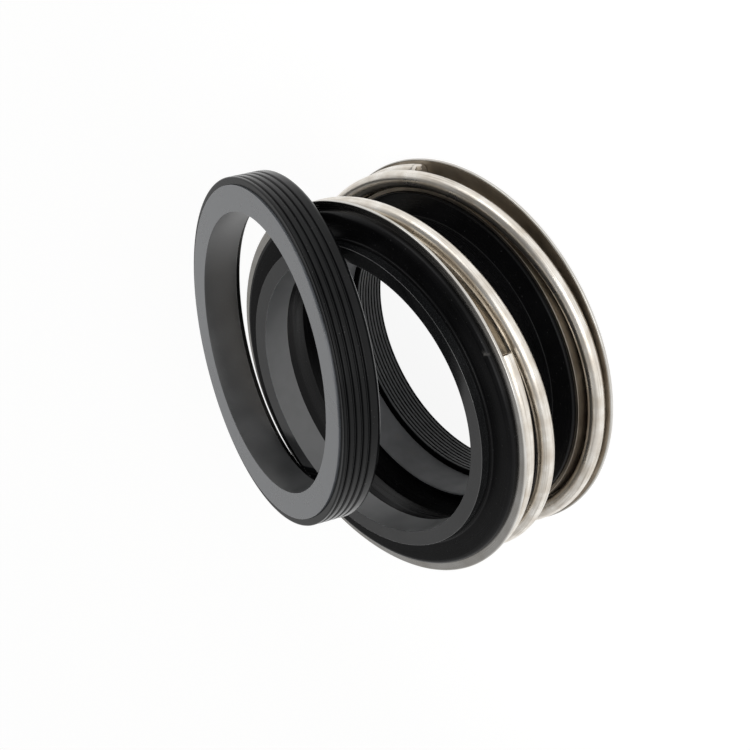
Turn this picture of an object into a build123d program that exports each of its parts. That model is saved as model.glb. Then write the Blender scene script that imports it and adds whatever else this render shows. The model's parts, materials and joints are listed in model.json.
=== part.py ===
from build123d import *

import os
from math import atan, cos, radians, sin, sqrt

# Rubber-bellows mechanical seal for a 75 mm shaft. The rotating head stands on its rear end, and the
# stationary seat lies across the head's front with its lapped face up.
# Millimetres. The shaft's axis is +Z, and the origin is on it at the head's rear face.

# Shaft and housing
shaft_r = 37.5
housing_depth = 11.0          # housing wall outside the shaft, so the housing bore is 97 mm across

# Clearances and squeezes, each per side
tail_squeeze = 0.4            # ribbed tail on the shaft
cup_squeeze = 0.1             # seat cup in its housing
sleeve_clearance = 1.0        # smooth bore of the bellows round the shaft
ring_clearance = 1.95         # seal face ring round the shaft
seat_clearance = 1.65         # seat ring round the shaft
fit_gap = 0.05                # rubber to the metal or ring that it is moulded to fit
coil_gap = 0.1                # closed coil to its flange, and to the next coil
rest_gap = 0.15               # seat to the head that it lies on

# Pressed angle rings
sheet = 1.0
hub_wall = 9.1                # rubber between the shaft and the hub's inside
rear_hub_depth = 7.1
front_hub_depth = 8.3
bend_r = 1.5
sheet_edge_r = 0.35

# Spring
wire_r = 2.3
coil_play = 0.7               # spring round the hubs
flange_margin = 0.6           # flange outside the spring
active_angle = 505
settle_angle = 40             # turn over which a closed coil takes up the active slope
front_tip_gap = 1.0           # wire tip to the next coil, over the coil gap
rear_tip_at = -25
point_step = 15               # turn between the points of the wire's centre line

# Lengths of the head
shoulder_depth = 2.8          # rubber behind the rear flange
over_flanges = 34.0
nose_reach = 5.2              # lapped nose in front of the front flange
collar_reach = 1.9            # rubber in front of the front flange

# Seal face ring
face_width = 4.05
ring_length = 8.2
ring_edge_r = 0.25

# Bellows
shoulder_width = 4.4          # rubber that laps each flange, outside the hub's bore
shoulder_edge_r = 1.6
lip_wall = 0.55               # thin lip round the nose
lip_reach = 0.6
lip_edge_r = 0.25
rubber_edge_r = 0.4
rubber_root_r = 0.3
fold_r = 1.0                  # where the membrane turns, in front
neck_clearance = 2.7          # bore behind the face ring
neck_depth = 10.8             # from the front flange's plane
neck_flare = 5.0              # stretch over which the bore opens to its mouth
neck_flare_r = 4.0
mouth_clearance = 3.8
membrane = 1.93               # wall of the membrane, across the axis
membrane_start = 8.5          # where it leaves the front hub
membrane_root = 2.9           # where it meets the tail, outside the shaft
tail_front = 9.3              # from the rear flange's plane, at the membrane
tail_slope = 1.2
sleeve_front = 17.0           # from the rear flange's plane
sleeve_wall = 1.2
pocket_depth = 1.9
rib_pitch = 1.09
rib_count = 8
rib_groove = 0.45
rib_depth = 0.4
rib_edge_r = 0.2
first_rib = 5.3               # first groove, from the rear flange's plane
ledge_z = 6.2                 # top of the ribbed stretch, from the rear flange's plane
ledge_groove = 0.8
ledge_groove_depth = 0.5

# Seat
seat_thickness = 11.6
cup_wall = 2.1
cup_back = 1.6
cup_bore_wall = 1.05          # cup's rear opening outside the ring's bore
cup_setback = 0.65            # cup's front edge behind the lapped face
cup_grooves = 4
cup_groove_pitch = 2.0
cup_groove = 0.5
cup_groove_depth = 0.5
cup_back_edge_r = 1.0
cup_bore_edge_r = 0.5
cup_edge_r = 0.4
seat_offset = 28.0            # seat's centre from the shaft's axis
seat_towards = 48.0           # from +Y towards +X

# Radii that follow
rib_r = shaft_r - tail_squeeze
sleeve_r = shaft_r + sleeve_clearance
hub_r = shaft_r + hub_wall
coil_r = hub_r + sheet + coil_play + wire_r
flange_r = coil_r + wire_r + flange_margin
shoulder_r = hub_r + shoulder_width
ring_bore_r = shaft_r + ring_clearance
nose_r = ring_bore_r + face_width
pocket_r = nose_r + fit_gap
lip_r = pocket_r + lip_wall
rubber_r = hub_r - fit_gap
root_r = shaft_r + membrane_root
cup_r = shaft_r + housing_depth + cup_squeeze
seat_ring_r = cup_r - cup_wall
seat_bore_r = shaft_r + seat_clearance
cup_bore_r = seat_bore_r + cup_bore_wall

# Heights that follow
rear_z = shoulder_depth
front_z = rear_z + over_flanges
nose_z = front_z + nose_reach
collar_z = front_z + collar_reach


def turned(corners):
    # Solid of revolution from (radius, height, corner radius) triples in order round its section.
    points = [(r, 0, z) for r, z, rounding in corners]
    roundings = [rounding for r, z, rounding in corners]
    outline = FilletPolyline(*points, radius=roundings, close=True)
    return revolve(make_face(outline), Axis.Z)


def angle_ring(flange_z, towards, hub_depth):
    # Flange with its outer face at flange_z, and a hub that reaches in the direction towards.
    inner_z = flange_z + towards * sheet
    hub_z = flange_z + towards * hub_depth
    return turned([
        (flange_r, flange_z, sheet_edge_r),
        (flange_r, inner_z, sheet_edge_r),
        (hub_r + sheet, inner_z, bend_r - sheet),
        (hub_r + sheet, hub_z, sheet_edge_r),
        (hub_r, hub_z, sheet_edge_r),
        (hub_r, flange_z, bend_r),
    ])


def seal_face_ring():
    ring_z = nose_z - ring_length
    return turned([
        (ring_bore_r, ring_z, ring_edge_r),
        (nose_r, ring_z, ring_edge_r),
        (nose_r, nose_z, ring_edge_r),
        (ring_bore_r, nose_z, ring_edge_r),
    ])


def groove_corners(radius, height, width, depth):
    # Four corners of one groove in a turned wall, from its upper edge down.
    half_floor = width / 4
    return [
        (radius, height + width / 2, 0),
        (radius + depth, height + half_floor, 0),
        (radius + depth, height - half_floor, 0),
        (radius, height - width / 2, 0),
    ]


def bellows():
    slope = (rubber_r - root_r) / (front_z - membrane_start - rear_z - tail_front)
    neck_z = front_z - neck_depth
    pocket_z = rear_z + sleeve_front - pocket_depth

    def membrane_inside(z):
        return root_r + slope * (z - rear_z - tail_front) - membrane

    tail = [
        (rib_r, 0, rib_edge_r),
        (shoulder_r, 0, shoulder_edge_r),
        (shoulder_r, rear_z - fit_gap, 0),
        (rubber_r, rear_z - fit_gap, bend_r + fit_gap),
        (rubber_r, rear_z + tail_front - tail_slope, rubber_edge_r),
        (root_r, rear_z + tail_front, rubber_root_r),
    ]
    front = [
        (rubber_r, front_z - membrane_start, fold_r),
        (rubber_r, front_z + fit_gap, bend_r + fit_gap),
        (shoulder_r, front_z + fit_gap, 0),
        (shoulder_r, collar_z, shoulder_edge_r),
        (lip_r, collar_z, rubber_edge_r),
        (lip_r, collar_z + lip_reach, lip_edge_r),
        (pocket_r, collar_z + lip_reach, 0),
        (pocket_r, nose_z - ring_length - fit_gap, 0),
        (shaft_r + neck_clearance, nose_z - ring_length - fit_gap, rubber_edge_r),
        (shaft_r + neck_clearance, neck_z + neck_flare, neck_flare_r),
        (shaft_r + mouth_clearance, neck_z, rubber_edge_r),
    ]
    fold = [
        (membrane_inside(neck_z), neck_z, fold_r),
        (membrane_inside(pocket_z), pocket_z, rubber_root_r),
        (sleeve_r + sleeve_wall, pocket_z, rubber_root_r),
        (sleeve_r + sleeve_wall, rear_z + sleeve_front, rubber_edge_r),
        (sleeve_r, rear_z + sleeve_front, rubber_edge_r),
    ]
    ledge_top = rear_z + ledge_z + ledge_groove
    bore = [
        (sleeve_r, ledge_top, 0),
        (sleeve_r + ledge_groove_depth, ledge_top, 0),
        (sleeve_r + ledge_groove_depth, rear_z + ledge_z, 0),
        (rib_r, rear_z + ledge_z, rib_edge_r),
    ]
    for rib in range(rib_count):
        groove_z = rear_z + first_rib - rib * rib_pitch
        bore += groove_corners(rib_r, groove_z, rib_groove, rib_depth)
    return turned(tail + front + fold + bore)


def climb(turn):
    # Share of the active height gained after so many degrees of active coil. The slope grows evenly
    # over settle_angle at each end and is constant between.
    if turn > active_angle / 2:
        return 1 - climb(active_angle - turn)
    if turn < settle_angle:
        return turn ** 2 / (2 * settle_angle * (active_angle - settle_angle))
    return (turn - settle_angle / 2) / (active_angle - settle_angle)


def closed_turn(rise, gap):
    # Turn of a closed end coil whose tip stays that gap clear of the next coil.
    share = (2 * wire_r + gap) / rise
    return 360 - share * (active_angle - settle_angle) - settle_angle / 2


def spring():
    low_z = rear_z + sheet + coil_gap + wire_r
    high_z = front_z - sheet - coil_gap - wire_r
    rise = high_z - low_z
    rear_turn = closed_turn(rise, coil_gap)
    whole_turn = rear_turn + active_angle + closed_turn(rise, coil_gap + front_tip_gap)
    steps = round(whole_turn / point_step)
    points = []
    for step in range(steps + 1):
        turn = whole_turn * step / steps
        active = min(max(turn - rear_turn, 0), active_angle)
        angle = radians(rear_tip_at + turn)
        points.append((coil_r * cos(angle), coil_r * sin(angle), low_z + rise * climb(active)))
    centre_line = Spline(*points)
    start = Plane(origin=centre_line @ 0, z_dir=centre_line % 0)
    return sweep(start * Circle(wire_r), path=centre_line)


def resting_plane():
    # The seat's back lies on two of the three circles that stand out of the head's front: the nose,
    # the rubber collar and the flange's rim. It touches each where the inner edge of its back crosses
    # the circle. Heights are over the front flange, and distances are along the seat's offset.
    back_r = cup_bore_r + cup_bore_edge_r
    edge_in, edge_down = shoulder_edge_r / 2, shoulder_edge_r / 6   # part of the way round the edge
    circles = [
        (nose_r, nose_reach),
        (shoulder_r - edge_in, collar_reach - edge_down),
        (flange_r, 0),
    ]
    for low, high in ((0, 1), (1, 2), (0, 2)):
        fall = 0.0
        for _ in range(30):
            crossings = []
            for r, z in circles:
                x = seat_offset
                for _ in range(10):
                    x = (r ** 2 - back_r ** 2 + seat_offset ** 2
                         + (fall * (x - seat_offset)) ** 2) / (2 * seat_offset)
                crossings.append((x, z))
            (x_in, z_in), (x_out, z_out) = crossings[low], crossings[high]
            fall = (z_in - z_out) / (x_out - x_in)
        centre_height = z_in - fall * (seat_offset - x_in)
        balance = seat_offset + seat_thickness / 2 * fall / sqrt(1 + fall ** 2)
        clear = all(z <= z_in - fall * (x - x_in) + 0.01 for x, z in crossings)
        if clear and x_in < balance < x_out:
            break
    tilt = atan(fall)
    bearing = radians(seat_towards)
    outward = Vector(sin(bearing), cos(bearing), 0)
    normal = outward * sin(tilt) + Vector(0, 0, cos(tilt))
    centre = outward * seat_offset + Vector(0, 0, front_z + centre_height) + normal * rest_gap
    return Plane(origin=centre, x_dir=outward.cross(Vector(0, 0, 1)), z_dir=normal)


def seat_ring(plane):
    ring = turned([
        (seat_bore_r, cup_back + fit_gap, ring_edge_r),
        (seat_ring_r, cup_back + fit_gap, ring_edge_r),
        (seat_ring_r, seat_thickness, ring_edge_r),
        (seat_bore_r, seat_thickness, ring_edge_r),
    ])
    return plane * ring


def seat_cup(plane):
    corners = [(cup_bore_r, 0, cup_bore_edge_r), (cup_r, 0, cup_back_edge_r)]
    for groove in reversed(range(cup_grooves)):
        groove_z = seat_thickness - cup_groove_pitch * (groove + 1)
        corners += reversed(groove_corners(cup_r, groove_z, cup_groove, -cup_groove_depth))
    front = seat_thickness - cup_setback
    corners += [
        (cup_r, front, cup_edge_r),
        (seat_ring_r + fit_gap, front, 0),
        (seat_ring_r + fit_gap, cup_back, 0),
        (cup_bore_r, cup_back, cup_edge_r),
    ]
    return plane * turned(corners)


seat_plane = resting_plane()
pieces = {
    "rear_l_ring": angle_ring(rear_z, 1, rear_hub_depth),
    "front_l_ring": angle_ring(front_z, -1, front_hub_depth),
    "bellows": bellows(),
    "seal_face_ring": seal_face_ring(),
    "spring": spring(),
    "seat_ring": seat_ring(seat_plane),
    "seat_cup": seat_cup(seat_plane),
}

os.makedirs("parts", exist_ok=True)
for name, piece in pieces.items():
    export_step(piece, f"parts/{name}.step")
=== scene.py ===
import json
from math import cos, degrees, pi, radians, sin, tan
import bmesh
import bpy
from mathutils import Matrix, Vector


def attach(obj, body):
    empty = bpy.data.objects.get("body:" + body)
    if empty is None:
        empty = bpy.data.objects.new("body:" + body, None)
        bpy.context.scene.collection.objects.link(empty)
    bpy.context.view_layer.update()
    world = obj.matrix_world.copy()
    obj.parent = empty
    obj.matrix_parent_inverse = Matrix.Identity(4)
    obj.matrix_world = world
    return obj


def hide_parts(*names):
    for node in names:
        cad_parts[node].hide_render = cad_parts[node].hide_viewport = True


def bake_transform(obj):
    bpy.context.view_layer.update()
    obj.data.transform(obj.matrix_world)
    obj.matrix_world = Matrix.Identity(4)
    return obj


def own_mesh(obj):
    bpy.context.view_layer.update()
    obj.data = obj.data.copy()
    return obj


# Rubber bellows mechanical seal: the rotating head stands on its rear end, and the seat lies across its face.
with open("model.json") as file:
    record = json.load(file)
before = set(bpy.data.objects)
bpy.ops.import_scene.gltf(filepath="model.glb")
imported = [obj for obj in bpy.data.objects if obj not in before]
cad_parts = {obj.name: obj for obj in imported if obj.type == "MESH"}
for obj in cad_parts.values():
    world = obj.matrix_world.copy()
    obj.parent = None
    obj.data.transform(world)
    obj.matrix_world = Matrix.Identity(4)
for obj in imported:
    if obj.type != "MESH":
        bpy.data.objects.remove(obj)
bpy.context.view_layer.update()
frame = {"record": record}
mm = 0.001
same = 1e-6         # points nearer than this, in metres, are one
turnSteps = 240     # faces round a turned piece
bevelStep = 13      # degrees of a rounding for each of its faces
halvings = 4        # how often a long stretch of a section may be cut in two
noiseLow, noiseHigh = 0.3, 0.7   # a noise texture hardly goes past these
print("frame loaded")


def choose(piece):
    bpy.ops.object.select_all(action="DESELECT")
    piece.select_set(True)
    bpy.context.view_layer.objects.active = piece


# selects the points or the edges that answer the question
def pick(piece, kind, wanted):
    bpy.ops.mesh.select_mode(type=kind)
    bpy.ops.mesh.select_all(action="DESELECT")
    mesh = bmesh.from_edit_mesh(piece.data)
    parts = mesh.verts if kind == "VERT" else mesh.edges
    for part in parts:
        part.select_set(wanted(part))
    mesh.select_flush(True)
    bmesh.update_edit_mesh(piece.data)


def radiusAt(co):
    return co.xy.length / mm


# the faces whose middle answers the question take the piece's material of that number
def paintFaces(piece, number, wanted):
    bpy.ops.object.mode_set(mode="EDIT")
    mesh = bmesh.from_edit_mesh(piece.data)
    for face in mesh.faces:
        if wanted(face.calc_center_median()):
            face.material_index = number
    bmesh.update_edit_mesh(piece.data)
    bpy.ops.object.mode_set(mode="OBJECT")


# a new piece that is one line of edges, left in edit mode
def drawLine(name, places):
    bpy.ops.object.select_all(action="DESELECT")
    bpy.ops.mesh.primitive_plane_add(size=mm, location=places[0])
    piece = bpy.context.object
    piece.name = piece.data.name = name
    bpy.ops.object.transform_apply()
    bpy.ops.object.mode_set(mode="EDIT")
    bpy.ops.mesh.select_mode(type="VERT")
    bpy.ops.mesh.select_all(action="SELECT")
    bpy.ops.mesh.merge(type="CENTER")
    for here, there in zip(places, places[1:]):
        bpy.ops.mesh.extrude_vertices_move(TRANSFORM_OT_translate={"value": there - here})
    return piece


# A turned piece. Its section is drawn corner by corner as (radius, height, rounding) in mm, the corners are
# bevelled, and the section is spun once round the Z axis.
def turnRing(name, corners, longest=6.0):
    places = [Vector((radius, 0, height)) * mm for radius, height, rounding in corners]
    piece = drawLine(name, places)
    ends = places[0], places[-1]
    pick(piece, "VERT", lambda point: min((point.co - end).length for end in ends) < same)
    bpy.ops.mesh.edge_face_add()
    for i, (radius, height, rounding) in enumerate(corners):
        turn = (places[i] - places[i - 1]).angle(places[(i + 1) % len(places)] - places[i])
        if rounding:
            pick(piece, "VERT", lambda point: (point.co - places[i]).length < same)
            bpy.ops.mesh.bevel(offset=rounding * mm * tan(turn / 2),
                               segments=max(3, round(degrees(turn) / bevelStep)),
                               affect="VERTICES", clamp_overlap=False)
    for halving in range(halvings):   # long straight stretches are cut up into shorter edges
        pick(piece, "EDGE", lambda edge: edge.calc_length() > longest * mm)
        bpy.ops.mesh.subdivide(number_cuts=1)
    bpy.ops.mesh.select_mode(type="VERT")
    bpy.ops.mesh.select_all(action="SELECT")
    bpy.ops.mesh.spin(steps=turnSteps, angle=2 * pi, center=(0, 0, 0), axis=(0, 0, 1), use_auto_merge=True)
    bpy.ops.mesh.select_all(action="SELECT")
    bpy.ops.mesh.remove_doubles(threshold=same)
    bpy.ops.mesh.normals_make_consistent(inside=False)
    bpy.ops.object.mode_set(mode="OBJECT")
    return piece


# the four corners of a groove across a wall, from its low side to its high side
def grooveCorners(wall, floor, middle, size):
    lip, bottom = size["lipRound"], size["floorRound"]
    return [(wall, middle - size["half"], lip), (floor, middle - size["floorHalf"], bottom),
            (floor, middle + size["floorHalf"], bottom), (wall, middle + size["half"], lip)]


def smoothPiece(piece, angle=38):
    choose(piece)
    bpy.ops.object.shade_smooth_by_angle(angle=radians(angle))
    bpy.ops.object.modifier_add(type="WEIGHTED_NORMAL")
    piece.modifiers[-1].keep_sharp = True
    bpy.ops.object.modifier_apply(modifier=piece.modifiers[-1].name)


def layOnSeat(piece):
    choose(piece)
    piece.rotation_euler = seatTurn
    piece.location = seatBack
    bpy.ops.object.transform_apply()


def finishPiece(piece, body, node, slot, *materials):
    for material in materials:
        piece.data.materials.append(material)
    if body:
        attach(piece, body)
    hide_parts(node)


def fromHex(code):
    parts = [int(code[i:i + 2], 16) / 255 for i in (1, 3, 5)]
    return tuple(p / 12.92 if p <= 0.04045 else ((p + 0.055) / 1.055) ** 2.4 for p in parts) + (1.0,)


# a value is a socket to link from, a hex colour for an input, or a plain setting of an input or of the node
def addNode(tree, kind, values):
    node = tree.nodes.new(kind)
    for key, value in values.items():
        if isinstance(value, bpy.types.NodeSocket):
            tree.links.new(value, node.inputs[key])
        elif isinstance(key, int) or key in node.inputs:
            node.inputs[key].default_value = fromHex(value) if isinstance(value, str) else value
        else:
            setattr(node, key, value)
    return node


def newMaterial(name, values):
    material = bpy.data.materials.new(name)
    material.use_nodes = True
    tree = material.node_tree
    tree.nodes.clear()
    shader = addNode(tree, "ShaderNodeBsdfPrincipled", values)
    addNode(tree, "ShaderNodeOutputMaterial", {"Surface": shader.outputs["BSDF"]})
    return material, tree, shader


# Object position, or the position in the laid seat's own axes
def placeOn(tree, onSeat=False):
    place = addNode(tree, "ShaderNodeTexCoord", {}).outputs["Object"]
    if onSeat:
        place = addNode(tree, "ShaderNodeMapping", {"vector_type": "TEXTURE", "Location": seatBack,
                                                    "Rotation": seatTurn, "Vector": place}).outputs[0]
    return place


# Noise drawn out along the way the piece was turned: around is how many waves go into a turn (a circle of
# radius 1 is about 6 round), and across is the width of a streak in mm
def turnedNoise(tree, place, around, across, detail=3.0):
    fine = 1 / (across * mm)
    flat = addNode(tree, "ShaderNodeVectorMath", {"operation": "MULTIPLY", 0: place, 1: (1, 1, 0)}).outputs[0]
    radius = addNode(tree, "ShaderNodeVectorMath", {"operation": "LENGTH", 0: flat}).outputs["Value"]
    heading = addNode(tree, "ShaderNodeVectorMath", {"operation": "NORMALIZE", 0: flat}).outputs[0]
    heading = addNode(tree, "ShaderNodeVectorMath", {"operation": "SCALE", 0: heading,
                                                     "Scale": around / 6}).outputs[0]
    up = addNode(tree, "ShaderNodeSeparateXYZ", {0: place}).outputs["Z"]
    up = addNode(tree, "ShaderNodeMath", {"operation": "MULTIPLY", 0: up, 1: fine}).outputs[0]
    up = addNode(tree, "ShaderNodeCombineXYZ", {"Z": up}).outputs[0]
    out = addNode(tree, "ShaderNodeMath", {"operation": "MULTIPLY", 0: radius, 1: fine}).outputs[0]
    at = addNode(tree, "ShaderNodeVectorMath", {"operation": "ADD", 0: heading, 1: up}).outputs[0]
    return addNode(tree, "ShaderNodeTexNoise", {"noise_dimensions": "4D", "Scale": 1.0, "Detail": detail,
                                                "Vector": at, "W": out}).outputs["Fac"]


# soft patches of about size mm, from 0 to 1
def clouds(tree, place, size, detail=2.0):
    noise = addNode(tree, "ShaderNodeTexNoise", {"Scale": 1 / (size * mm), "Detail": detail, "Vector": place})
    return addNode(tree, "ShaderNodeMapRange", {0: noise.outputs["Fac"], 1: noiseLow, 2: noiseHigh}).outputs[0]


# one small mark: full near its middle, gone at size mm from it, its edge broken up by crumbs of crumbSize mm
def mark(tree, place, middle, size, strength, crumbSize=0.9):
    full, ragged = 0.3 * size * mm, 0.45 * size * mm
    crumb = addNode(tree, "ShaderNodeTexNoise", {"Scale": 1 / (crumbSize * mm), "Detail": 2.0, "Vector": place})
    crumb = addNode(tree, "ShaderNodeMapRange", {0: crumb.outputs["Fac"], 1: noiseLow, 2: noiseHigh,
                                                 3: -ragged, 4: ragged})
    far = addNode(tree, "ShaderNodeVectorMath", {"operation": "DISTANCE", 0: place, 1: Vector(middle) * mm})
    far = addNode(tree, "ShaderNodeMath", {"operation": "ADD", 0: far.outputs["Value"], 1: crumb.outputs[0]})
    return addNode(tree, "ShaderNodeMapRange", {0: far.outputs[0], 1: full, 2: size * mm,
                                                3: strength, 4: 0.0}).outputs[0]


# Nitrile rubber, moulded and left as it comes from the tool: near black, with a soft satin gloss, a very fine grain
# and faint flow marks round the piece. Marks are handling scuffs: place in mm, size in mm, strength.
def rubber(name, dark, light, gloss, level, marks=(), onSeat=False):
    look = {"flowWaves": 9, "flowWidth": 1.4, "cloud": 7, "grainSize": 0.3, "glossier": 0.05, "duller": 0.07,
            "bloom": "#6a6a6a", "bloomSize": 0.55, "bloomFrom": 0.74, "bloomTo": 0.78, "bloomShare": 0.3,
            "scuff": "#7d7b78"}
    material, tree, shader = newMaterial(name, {"IOR": 1.52, "Specular IOR Level": level})
    place = placeOn(tree, onSeat)
    flow = turnedNoise(tree, place, look["flowWaves"], look["flowWidth"])
    cloud = clouds(tree, place, look["cloud"])
    colour = addNode(tree, "ShaderNodeMix", {"data_type": "RGBA", 0: cloud, 6: dark, 7: light}).outputs[2]
    # a few specks of bloom, drawn large
    bloom = addNode(tree, "ShaderNodeTexNoise", {"Scale": 1 / (look["bloomSize"] * mm), "Detail": 1.0,
                                                 "Vector": place})
    bloom = addNode(tree, "ShaderNodeMapRange", {0: bloom.outputs["Fac"], 1: look["bloomFrom"], 2: look["bloomTo"],
                                                 4: look["bloomShare"]})
    colour = addNode(tree, "ShaderNodeMix", {"data_type": "RGBA", 0: bloom.outputs[0], 6: colour,
                                             7: look["bloom"]}).outputs[2]
    for middle, size, strength in marks:
        worn = mark(tree, place, middle, size, strength)
        colour = addNode(tree, "ShaderNodeMix", {"data_type": "RGBA", 0: worn, 6: colour,
                                                 7: look["scuff"]}).outputs[2]
    tree.links.new(colour, shader.inputs["Base Color"])
    rough = addNode(tree, "ShaderNodeMapRange", {0: flow, 1: noiseLow, 2: noiseHigh,
                                                 3: gloss - look["glossier"], 4: gloss + look["duller"]})
    tree.links.new(rough.outputs[0], shader.inputs["Roughness"])
    grain = addNode(tree, "ShaderNodeTexNoise", {"Scale": 1 / (look["grainSize"] * mm), "Detail": 2.0,
                                                 "Vector": place})
    bump = addNode(tree, "ShaderNodeBump", {"Strength": 0.25, "Distance": 0.02 * mm, "Height": grain.outputs["Fac"]})
    bump = addNode(tree, "ShaderNodeBump", {"Strength": 0.3, "Distance": 0.03 * mm, "Height": flow,
                                            "Normal": bump.outputs[0]})
    tree.links.new(bump.outputs[0], shader.inputs["Normal"])
    return material


# Silicon carbide, sintered: a cool grey with grains just visible, drawn larger than they are. Lapped it is half a
# mirror at a low angle, ground it is duller and paler.
def carbide(name, dark, light, gloss, index, onSeat=False):
    look = {"grainSize": 0.45, "grain": "#8c8f92", "grainFrom": 0.6, "grainTo": 0.8, "grainShare": 0.12,
            "cloud": 9, "glossier": 0.03, "duller": 0.04}
    material, tree, shader = newMaterial(name, {"IOR": index})
    place = placeOn(tree, onSeat)
    grain = addNode(tree, "ShaderNodeTexNoise", {"Scale": 1 / (look["grainSize"] * mm), "Detail": 2.0,
                                                 "Vector": place}).outputs["Fac"]
    cloud = clouds(tree, place, look["cloud"])
    colour = addNode(tree, "ShaderNodeMix", {"data_type": "RGBA", 0: cloud, 6: dark, 7: light}).outputs[2]
    speck = addNode(tree, "ShaderNodeMapRange", {0: grain, 1: look["grainFrom"], 2: look["grainTo"],
                                                 4: look["grainShare"]}).outputs[0]
    colour = addNode(tree, "ShaderNodeMix", {"data_type": "RGBA", 0: speck, 6: colour, 7: look["grain"]}).outputs[2]
    tree.links.new(colour, shader.inputs["Base Color"])
    rough = addNode(tree, "ShaderNodeMapRange", {0: cloud, 3: gloss - look["glossier"], 4: gloss + look["duller"]})
    tree.links.new(rough.outputs[0], shader.inputs["Roughness"])
    bump = addNode(tree, "ShaderNodeBump", {"Strength": 0.06, "Distance": 0.006 * mm, "Height": grain})
    tree.links.new(bump.outputs[0], shader.inputs["Normal"])
    return material


# Stainless steel sheet, pressed: half bright, with drawing streaks round the piece and a thin warm film. The hub
# and the flange's inner side, where the sheet slid over the die, are duller (rougher); on the rear ring they are
# also darker, which is painted shade for the gap under the spring.
def pressedSteel(name, bright, film, gloss):
    look = {"streakWaves": 14, "streakWidth": 0.35, "streak": "#8f887e", "streakFrom": 0.5, "streakTo": 0.75,
            "streakShare": 0.45, "cloud": 8, "glossier": 0.06, "duller": 0.08}
    material, tree, shader = newMaterial(name, {"Metallic": 1.0})
    place = placeOn(tree)
    streak = turnedNoise(tree, place, look["streakWaves"], look["streakWidth"], 4.0)
    cloud = clouds(tree, place, look["cloud"])
    colour = addNode(tree, "ShaderNodeMix", {"data_type": "RGBA", 0: cloud, 6: bright, 7: film}).outputs[2]
    share = addNode(tree, "ShaderNodeMapRange", {0: streak, 1: look["streakFrom"], 2: look["streakTo"],
                                                 4: look["streakShare"]}).outputs[0]
    colour = addNode(tree, "ShaderNodeMix", {"data_type": "RGBA", 0: share, 6: colour, 7: look["streak"]}).outputs[2]
    tree.links.new(colour, shader.inputs["Base Color"])
    rough = addNode(tree, "ShaderNodeMapRange", {0: streak, 1: noiseLow, 2: noiseHigh,
                                                 3: gloss - look["glossier"], 4: gloss + look["duller"]})
    tree.links.new(rough.outputs[0], shader.inputs["Roughness"])
    bump = addNode(tree, "ShaderNodeBump", {"Strength": 0.25, "Distance": 0.02 * mm, "Height": streak})
    tree.links.new(bump.outputs[0], shader.inputs["Normal"])
    return material


# Stainless spring wire, cold drawn: brighter than the sheet, with long die lines, cloudy half dull patches and
# a skin like fine orange peel that breaks up the edges of its reflections. Lines and peel are drawn coarser than
# they are. The wire's UV map runs once along its length and once round its girth, which are in mm.
def drawnWire(name, length, girth):
    look = {"bright": "#f4f0e9", "dull": "#d3cabd", "cloud": 5, "brightGloss": 0.24, "dullGloss": 0.36,
            "line": "#978e80", "lineLong": 14.8, "lineWide": 0.48, "lineFrom": 0.48, "lineTo": 0.72, "lineShare": 0.6,
            "peelSize": 0.6}
    material, tree, shader = newMaterial(name, {"Metallic": 1.0})
    lines = (round(length / look["lineLong"]), round(girth / look["lineWide"]), 1)
    along = addNode(tree, "ShaderNodeUVMap", {"uv_map": "UVMap"}).outputs[0]
    along = addNode(tree, "ShaderNodeMapping", {"Scale": lines, "Vector": along}).outputs[0]
    line = addNode(tree, "ShaderNodeTexNoise", {"Scale": 1.0, "Detail": 4.0, "Vector": along}).outputs["Fac"]
    place = placeOn(tree)
    cloud = clouds(tree, place, look["cloud"], 4.0)
    colour = addNode(tree, "ShaderNodeMix", {"data_type": "RGBA", 0: cloud, 6: look["bright"],
                                             7: look["dull"]}).outputs[2]
    share = addNode(tree, "ShaderNodeMapRange", {0: line, 1: look["lineFrom"], 2: look["lineTo"],
                                                 4: look["lineShare"]}).outputs[0]
    colour = addNode(tree, "ShaderNodeMix", {"data_type": "RGBA", 0: share, 6: colour, 7: look["line"]}).outputs[2]
    tree.links.new(colour, shader.inputs["Base Color"])
    rough = addNode(tree, "ShaderNodeMapRange", {0: cloud, 3: look["brightGloss"], 4: look["dullGloss"]})
    tree.links.new(rough.outputs[0], shader.inputs["Roughness"])
    peel = addNode(tree, "ShaderNodeTexNoise", {"Scale": 1 / (look["peelSize"] * mm), "Detail": 3.0,
                                                "Vector": place})
    bump = addNode(tree, "ShaderNodeBump", {"Strength": 0.2, "Distance": 0.02 * mm, "Height": line})
    bump = addNode(tree, "ShaderNodeBump", {"Strength": 0.35, "Distance": 0.03 * mm, "Height": peel.outputs["Fac"],
                                            "Normal": bump.outputs[0]})
    tree.links.new(bump.outputs[0], shader.inputs["Normal"])
    return material


# The cut end of the wire: torn by the shear, duller than the drawn skin and browned by the heat of the cut.
def shearedEnd(name, bright, brown):
    look = {"tearSize": 0.7, "brightGloss": 0.28, "brownGloss": 0.5}
    material, tree, shader = newMaterial(name, {"Metallic": 1.0})
    torn = clouds(tree, placeOn(tree), look["tearSize"], 3.0)
    colour = addNode(tree, "ShaderNodeMix", {"data_type": "RGBA", 0: torn, 6: bright, 7: brown}).outputs[2]
    tree.links.new(colour, shader.inputs["Base Color"])
    rough = addNode(tree, "ShaderNodeMapRange", {0: torn, 3: look["brightGloss"], 4: look["brownGloss"]})
    tree.links.new(rough.outputs[0], shader.inputs["Roughness"])
    bump = addNode(tree, "ShaderNodeBump", {"Strength": 0.6, "Distance": 0.12 * mm, "Height": torn})
    tree.links.new(bump.outputs[0], shader.inputs["Normal"])
    return material
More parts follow.
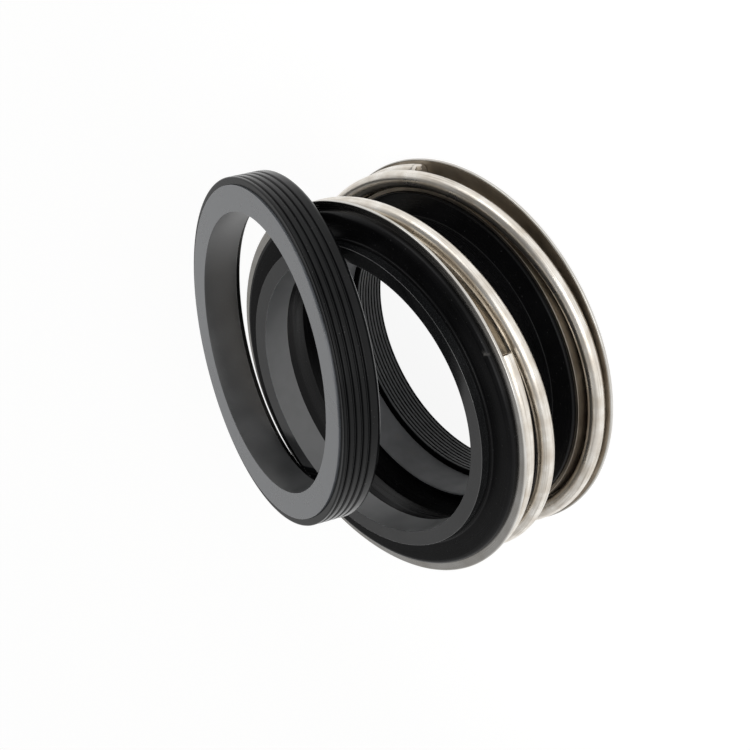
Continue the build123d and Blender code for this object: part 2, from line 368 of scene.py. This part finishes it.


# The bellows: the tail that grips the shaft with a grooved bore, the membrane that bends, and the nose. A band
# inside the bore is a paler grey, and the grooved part a little less pale.
bellowsSize = {
    "grip": 37.1,
    "corners": [
        (51.0, 0, 1.6), (51.0, 2.75, 0), (46.55, 2.75, 1.5), (46.55, 10.9, .5), (40.4, 12.1, .3),
        (46.55, 28.3, 1.0), (46.55, 36.85, 1.5), (51.0, 36.85, 0), (51.0, 38.7, 1.6), (44.1, 38.7, .5),
        (44.1, 39.3, .25), (43.55, 39.3, 0), (43.55, 33.75, 0), (40.2, 33.75, .4), (40.2, 31.0, 4.0),
        (41.3, 26.0, .5), (43.75, 26.0, .8), (40.67, 17.9, .3), (39.7, 17.9, .3), (39.7, 19.8, .4),
        (38.5, 19.8, .4), (38.5, 9.8, 0), (39.0, 9.8, 0), (39.0, 9.0, 0)],
    "gripLow": 0.15, "gripHigh": 0.2, "gripTop": 9.0,
    "grooves": 8, "firstGroove": 8.1, "groovePitch": 1.09, "grooveDepth": 0.4,
    "groove": {"half": 0.225, "floorHalf": 0.135, "lipRound": .08, "floorRound": .08},
    "bendFrom": 12.1, "bendTo": 28.3, "longest": 2.6,
    "paleBandRadius": 38.8, "paleBandFrom": 9.3, "paleBandTo": 19.85, "greyBandRadius": 37.2, "greyBandTo": 9.1,
    "scuffs": [((-4.5, -50.6, 38.7), 1.1, 0.5)],
    "smudges": [((-14.7, 35.6, 13.2), 1.6, 0.4), ((-21.0, 32.2, 13.4), 2.2, 0.3), ((-26, 28, 15), 1.2, 0.3)],
    "ticks": [((29.3, 22.8, 6.3), 0.9, 0.9), ((29.8, 22.1, 4.4), 0.6, 0.7)]}

size = bellowsSize
corners = [(size["grip"], 0, size["gripLow"])] + size["corners"]
corners.append((size["grip"], size["gripTop"], size["gripHigh"]))
for i in range(size["grooves"]):
    middle = size["firstGroove"] - i * size["groovePitch"]
    corners += grooveCorners(size["grip"], size["grip"] + size["grooveDepth"], middle, size["groove"])[::-1]
bellows = turnRing("rubberBellows", corners, size["longest"])
paintFaces(bellows, 1, lambda co: radiusAt(co) < size["paleBandRadius"]
           and size["paleBandFrom"] < co.z / mm < size["paleBandTo"])
paintFaces(bellows, 2, lambda co: radiusAt(co) < size["greyBandRadius"] and co.z / mm < size["greyBandTo"])
smoothPiece(bellows)
# no body of its own
finishPiece(bellows, None, "bellows", "bellows_rubber",
            rubber("mouldedNitrileBlack", "#0b0b0c", "#111112", gloss=0.25, level=0.13, marks=size["scuffs"]),
            rubber("paleBoreBand", "#707173", "#828385", gloss=0.5, level=0.3, marks=size["smudges"]),
            rubber("greyGrooveBand", "#585a5b", "#6c6d6e", gloss=0.45, level=0.3, marks=size["ticks"]))
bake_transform(bellows)
print("bellows done")


# The two pressed L rings, one at each end of the spring. Each starts at its flange's outer plane, and its hub
# goes the other way.
ringSize = {"flange": 53.5, "sheet": 1.0, "bore": 46.6, "outerBend": 1.5, "innerBend": 0.5, "edge": 0.32,
            "hubEdge": 0.12, "rearPlane": 2.8, "rearHub": 7.1, "frontPlane": 36.8, "frontHub": 8.3,
            "brightRim": 0.5, "brightDepth": 0.6}   # the depth is in sheet thicknesses
brightSteel = pressedSteel("pressedStainlessSheet", "#d8d6d2", "#c5c1ba", gloss=0.22)
halfDullSteel = pressedSteel("drawnStainlessSheet", "#dcd5ca", "#cbc3b6", gloss=0.3)
# painted shade: a darker colour for the rear ring's hub and flange back, in the gap under the spring
shadedDullSteel = pressedSteel("dieDulledSheetWithPaintedShade", "#b5ac9f", "#978e82", gloss=0.38)


def angleRing(name, plane, way, deep):
    size = ringSize
    bore, hub, rim = size["bore"], size["bore"] + size["sheet"], size["flange"]
    back, low, rounding = plane + way * size["sheet"], plane + way * deep, size["hubEdge"]
    piece = turnRing(name, [(bore, plane, size["outerBend"]), (rim, plane, size["edge"]), (rim, back, size["edge"]),
                            (hub, back, size["innerBend"]), (hub, low, rounding), (bore, low, rounding)])
    paintFaces(piece, 1, lambda co: radiusAt(co) < rim - size["brightRim"]
               and way * (co.z / mm - plane) > size["brightDepth"] * size["sheet"])
    smoothPiece(piece)
    return piece


rearRing = angleRing("rearLRing", ringSize["rearPlane"], 1, ringSize["rearHub"])
# the rear ring's hub and flange back take the darker colour of painted shade
finishPiece(rearRing, "rear_end", "rear_l_ring", "stainless_sheet", brightSteel, shadedDullSteel)
frontRing = angleRing("frontLRing", ringSize["frontPlane"], -1, ringSize["frontHub"])
finishPiece(frontRing, "face_end", "front_l_ring", "stainless_sheet", brightSteel, halfDullSteel)
print("L rings done")


# The rotating face, held in the nose of the bellows
faceSize = {"corners": [(39.45, 33.8, .15), (43.5, 33.8, .15), (43.5, 42.0, .12), (39.45, 42.0, .12)],
            "innerWall": 39.5}
faceRing = turnRing("rotatingFaceRing", faceSize["corners"])
paintFaces(faceRing, 1, lambda co: radiusAt(co) < faceSize["innerWall"])
smoothPiece(faceRing)
finishPiece(faceRing, "face_end", "seal_face_ring", "seal_ring",
            carbide("lappedCarbideDark", "#111213", "#191a1b", gloss=0.14, index=2.1),
            carbide("groundCarbideBore", "#565758", "#696a6b", gloss=0.42, index=2.2))
print("face ring done")


# The spring: one closed turn against each L ring, and a turn and a half between them. Its rear end is torn: it is
# pinched to a blunt edge, with a crack across the wire one step behind it.
springSize = {
    "coil": 50.6, "wire": 2.3, "rear": 6.2, "front": 33.4,
    "tip": -25.0, "rearTurn": 259.65, "climb": 505.0, "frontTurn": 242.55,   # degrees, on from the rear tip
    "settle": 40.0,   # degrees in which the wire begins and ends its climb
    "step": 1.9,      # degrees of one stretch of its line
    "facets": 14, "smoothAngle": 50,
    "crackReach": 1.2, "endReach": 0.5,   # in wire radii
    "crackHalf": 0.35, "crackShare": 0.75, "crackTurn": 14,
    "pinchLong": 0.8, "pinchHigh": 0.35, "pinchWide": 0.9, "rimRound": 0.25,
    "anchor": 3.8, "keep": 0.84375}   # a squeeze of 5 mm leaves 27 of the 32 mm between the flanges


def springHeight(turn):
    size = springSize
    turn = min(max(turn - size["rearTurn"], 0), size["climb"])
    settle, run = size["settle"], size["climb"] - size["settle"]
    if turn < settle:
        part = turn ** 2 / (2 * settle * run)
    elif turn > run:
        part = 1 - (size["climb"] - turn) ** 2 / (2 * settle * run)
    else:
        part = (turn - settle / 2) / run
    return size["rear"] + (size["front"] - size["rear"]) * part


wholeTurn = springSize["rearTurn"] + springSize["climb"] + springSize["frontTurn"]
count = round(wholeTurn / springSize["step"])
route = []
for i in range(count + 1):
    turn = wholeTurn * i / count
    heading, out = radians(springSize["tip"] + turn), springSize["coil"]
    route.append(Vector((out * cos(heading), out * sin(heading), springHeight(turn))) * mm)
drawLine("compressionSpring", route)
bpy.ops.object.mode_set(mode="OBJECT")
bpy.ops.object.convert(target="CURVE")
spring = bpy.context.object
spring.data.bevel_depth = springSize["wire"] * mm
spring.data.bevel_resolution = springSize["facets"]
spring.data.use_fill_caps = True
bpy.ops.object.convert(target="MESH")
spring = bpy.context.object
spring.name = spring.data.name = "compressionSpring"
bpy.ops.object.mode_set(mode="EDIT")
bpy.ops.mesh.select_all(action="SELECT")
bpy.ops.mesh.remove_doubles(threshold=same)
bpy.ops.mesh.normals_make_consistent(inside=False)

crack = route[1]
along = (route[0] - crack).normalized()


def nearCrack(co, off):
    near = (co - crack).length < springSize["crackReach"] * springSize["wire"] * mm
    return near and abs((co - crack).dot(along)) / mm < off


onCrack = 0.1     # mm
facingEnd = 0.9   # cosine of the angle between a face's normal and the wire
pick(spring, "EDGE", lambda edge: all(nearCrack(point.co, onCrack) for point in edge.verts))
bpy.ops.mesh.bevel(offset=springSize["crackHalf"] * mm, segments=2, affect="EDGES")
mesh = bmesh.from_edit_mesh(spring.data)
for face in mesh.faces:
    if nearCrack(face.calc_center_median(), springSize["crackHalf"]):
        face.material_index = 1
bmesh.update_edit_mesh(spring.data)
pick(spring, "VERT", lambda point: nearCrack(point.co, onCrack))
bpy.ops.transform.resize(value=[springSize["crackShare"]] * 3, center_override=crack)
bpy.ops.transform.rotate(value=radians(springSize["crackTurn"]), orient_axis="Z", center_override=crack)

for end, beside, number in ((route[0], route[1], 1), (route[-1], route[-2], 2)):
    way = (end - beside).normalized()
    bpy.ops.mesh.select_mode(type="FACE")
    bpy.ops.mesh.select_all(action="DESELECT")
    mesh = bmesh.from_edit_mesh(spring.data)
    for face in mesh.faces:
        near = (face.calc_center_median() - end).length < springSize["endReach"] * springSize["wire"] * mm
        if near and abs(face.normal.dot(way)) > facingEnd:
            face.select_set(True)
            face.material_index = number
    bmesh.update_edit_mesh(spring.data)
    if number == 1:
        pinch = way * springSize["pinchLong"] * mm
        bpy.ops.mesh.extrude_region_move(TRANSFORM_OT_translate={"value": pinch})
        bpy.ops.transform.resize(value=(springSize["pinchWide"], springSize["pinchWide"], springSize["pinchHigh"]),
                                 center_override=end + pinch)
    else:   # the front end's rim is rolled over a little
        bpy.ops.mesh.region_to_loop()
        bpy.ops.mesh.bevel(offset=springSize["rimRound"] * mm, segments=3, affect="EDGES")
bpy.ops.object.mode_set(mode="OBJECT")
smoothPiece(spring, springSize["smoothAngle"])
wireLong, wireGirth = radians(wholeTurn) * springSize["coil"], 2 * pi * springSize["wire"]
finishPiece(spring, "rear_end", "spring", "spring_wire", drawnWire("drawnStainlessWire", wireLong, wireGirth),
            shearedEnd("shearedEndBright", "#e2dfd8", "#8a8177"),
            shearedEnd("shearedEndBrown", "#8d7a70", "#4a3b36"))
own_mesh(spring)
print("spring done")


# The stationary seat and its ribbed rubber cup, laid across the head. Both are turned about Z, heights from the
# seat's back, and then laid where the seat's mount is.
seatSize = {"ring": [(39.15, 1.65, .15), (46.5, 1.65, .25), (46.5, 11.6, .12), (39.15, 11.6, .15)],
            "innerWall": 39.2, "cupOuter": 48.6, "cupInner": 46.55, "cupHigh": 10.95, "cupFloor": 1.6,
            "cupHole": 40.2, "mountHigh": 5.0,
            "grooves": (3.6, 5.6, 7.6, 9.6), "grooveDepth": 0.5,
            "groove": {"half": 0.42, "floorHalf": 0.12, "lipRound": .3, "floorRound": .1}}
seatMount = next(mount for mount in frame["record"]["mounts"] if mount["name"] == "seat_cup_od")
seatAxis = Vector(seatMount["axis"]).normalized()
seatBack = Vector(seatMount["pos_m"]) - seatAxis * seatSize["mountHigh"] * mm
seatTurn = Vector((0, 0, 1)).rotation_difference(seatAxis).to_euler()

seatRing = turnRing("seatRing", seatSize["ring"])
paintFaces(seatRing, 1, lambda co: radiusAt(co) < seatSize["innerWall"])
layOnSeat(seatRing)
smoothPiece(seatRing)
finishPiece(seatRing, "face_end", "seat_ring", "seat_ring",
            carbide("lappedCarbideGrey", "#4b4f54", "#565a60", gloss=0.28, index=2.6, onSeat=True),
            carbide("groundCarbideGrey", "#3c3d3e", "#48494a", gloss=0.4, index=2.0, onSeat=True))

size = seatSize
corners = [(size["cupOuter"], size["cupHigh"], .4), (size["cupInner"], size["cupHigh"], .08),
           (size["cupInner"], size["cupFloor"], 0), (size["cupHole"], size["cupFloor"], .3),
           (size["cupHole"], 0, .5), (size["cupOuter"], 0, 1.5)]
for middle in size["grooves"]:
    corners += grooveCorners(size["cupOuter"], size["cupOuter"] - size["grooveDepth"], middle, size["groove"])
cup = turnRing("seatCup", corners)
layOnSeat(cup)
smoothPiece(cup)
finishPiece(cup, "face_end", "seat_cup", "cup_rubber",
            rubber("mouldedNitrileCup", "#0a0b0c", "#101112", gloss=0.17, level=0.18, onSeat=True))
print("seat done")


# The floor is a matt white board. To the eye and in reflections most of it glows, so that it shows white, and the
# rest keeps the shadow. A brighter pool of light is painted into its glow in front of the head.
board = {"size": 8, "colour": "#f4f4f2", "glowShare": 0.74, "pool": (-0.03, -0.13, 0), "poolFrom": 0.03,
         "poolTo": 0.3, "poolGlow": 1.27, "glow": 1.175}
bpy.ops.object.select_all(action="DESELECT")
bpy.ops.mesh.primitive_plane_add(size=board["size"], location=(0, 0, 0))
floor = bpy.context.object
floor.name = "paleFloor"
material, tree, shader = newMaterial("paintedBoardWhite", {"Base Color": board["colour"], "Roughness": 0.9,
                                                           "Specular IOR Level": 0.1})
rays = addNode(tree, "ShaderNodeLightPath", {}).outputs
seen = addNode(tree, "ShaderNodeMath", {"operation": "MAXIMUM", 0: rays["Is Camera Ray"], 1: rays["Is Glossy Ray"]})
seen = addNode(tree, "ShaderNodeMath", {"operation": "MAXIMUM", 0: seen.outputs[0], 1: rays["Is Transmission Ray"]})
share = addNode(tree, "ShaderNodeMath", {"operation": "MULTIPLY", 0: seen.outputs[0], 1: board["glowShare"]})
# painted pool of light: the glow is stronger near the front of the head
away = addNode(tree, "ShaderNodeVectorMath", {"operation": "DISTANCE", 0: placeOn(tree), 1: board["pool"]})
pool = addNode(tree, "ShaderNodeMapRange", {"interpolation_type": "SMOOTHSTEP", 0: away.outputs["Value"],
                                            1: board["poolFrom"], 2: board["poolTo"],
                                            3: board["poolGlow"], 4: board["glow"]})
glow = addNode(tree, "ShaderNodeEmission", {"Color": (1, 1, 1, 1), "Strength": pool.outputs[0]})
mixed = addNode(tree, "ShaderNodeMixShader", {0: share.outputs[0], 1: shader.outputs[0], 2: glow.outputs[0]})
tree.links.new(mixed.outputs[0], tree.nodes["Material Output"].inputs["Surface"])
floor.data.materials.append(material)

# The room has pale walls that dim upwards, more so on the near side. Brightness is a plain number, and rise is the
# sine of the height above the horizon.
room = {"farSide": Vector((-0.342, 0.94, 0)), "nearWall": 0.97, "farWall": 0.62, "nearUpper": 0.34, "farUpper": 0.62,
        "wallNearTo": -0.2, "wallFarFrom": 0.95, "upperNearTo": -0.3, "upperFarFrom": 0.4,
        "dimFrom": 0.42, "dimTo": 0.72}
# each patch of it: the way to its middle, the cosines of the angles from there at which it begins and at which it
# is full, and its brightness
patches = {"ceiling": (Vector((0.187, 0.324, 0.927)), 0.83, 0.965, 0.08),
           "farScreen": (Vector((0.056, 0.807, 0.588)), 0.955, 0.988, 0.34),
           "unlitCorner": (Vector((0.579, -0.406, 0.707)), 0.74, 0.93, 0.22)}
world = bpy.data.worlds.new("studioRoom")
bpy.context.scene.world = world
world.use_nodes = True
tree = world.node_tree
tree.nodes.clear()
heading = addNode(tree, "ShaderNodeTexCoord", {}).outputs["Generated"]
rise = addNode(tree, "ShaderNodeSeparateXYZ", {0: heading}).outputs["Z"]
toFar = addNode(tree, "ShaderNodeVectorMath", {"operation": "DOT_PRODUCT", 0: heading,
                                               1: room["farSide"]}).outputs["Value"]
lower = addNode(tree, "ShaderNodeMapRange", {0: toFar, 1: room["wallNearTo"], 2: room["wallFarFrom"],
                                             3: room["nearWall"], 4: room["farWall"]})
upper = addNode(tree, "ShaderNodeMapRange", {0: toFar, 1: room["upperNearTo"], 2: room["upperFarFrom"],
                                             3: room["nearUpper"], 4: room["farUpper"]})
wall = addNode(tree, "ShaderNodeMapRange", {"interpolation_type": "SMOOTHSTEP", 0: rise, 1: room["dimFrom"],
                                            2: room["dimTo"], 3: lower.outputs[0], 4: upper.outputs[0]})
for middle, begin, full, level in patches.values():
    toPatch = addNode(tree, "ShaderNodeVectorMath", {"operation": "DOT_PRODUCT", 0: heading, 1: middle})
    wall = addNode(tree, "ShaderNodeMapRange", {"interpolation_type": "SMOOTHSTEP", 0: toPatch.outputs["Value"],
                                                1: begin, 2: full, 3: wall.outputs[0], 4: level})
back = addNode(tree, "ShaderNodeBackground", {"Color": (1, 1, 1, 1), "Strength": wall.outputs[0]})
addNode(tree, "ShaderNodeOutputWorld", {"Surface": back.outputs[0]})

# each lamp: heading from +Y towards +X and height in degrees; distance, width and height in metres; brightness of
# its surface
lamps = {"frontSoftbox": (-163, 17, 1.6, 1.05, 0.95, 1.7),
         "cornerSoftbox": (126, 10, 1.6, 1.1, 0.55, 1.5)}
aim = Vector((0, 0, 0.02))
for name, (turn, rise, far, width, height, level) in lamps.items():
    turn, rise = radians(turn), radians(rise)
    way = Vector((sin(turn) * cos(rise), cos(turn) * cos(rise), sin(rise)))
    bpy.ops.object.light_add(type="AREA", location=way * far + aim,
                             rotation=(-way).to_track_quat("-Z", "Y").to_euler())
    lamp = bpy.context.object
    lamp.name = name
    lamp.data.shape = "RECTANGLE"
    lamp.data.size, lamp.data.size_y = width, height
    lamp.data.energy = level * pi * width * height
    lamp.visible_camera = False

view = {"place": (0.00385, -0.4949, 0.3855), "turn": (-33.525, 46.154, -132.566), "lens": 108.67, "film": 36,
        "nearest": 0.01}
bpy.ops.object.camera_add(location=view["place"], rotation=[radians(angle) for angle in view["turn"]])
camera = bpy.context.object
camera.data.sensor_width = view["film"]
camera.data.lens = view["lens"]
camera.data.clip_start = view["nearest"]
bpy.context.scene.camera = camera
bpy.context.scene.view_settings.view_transform = "Standard"
print("stage set")
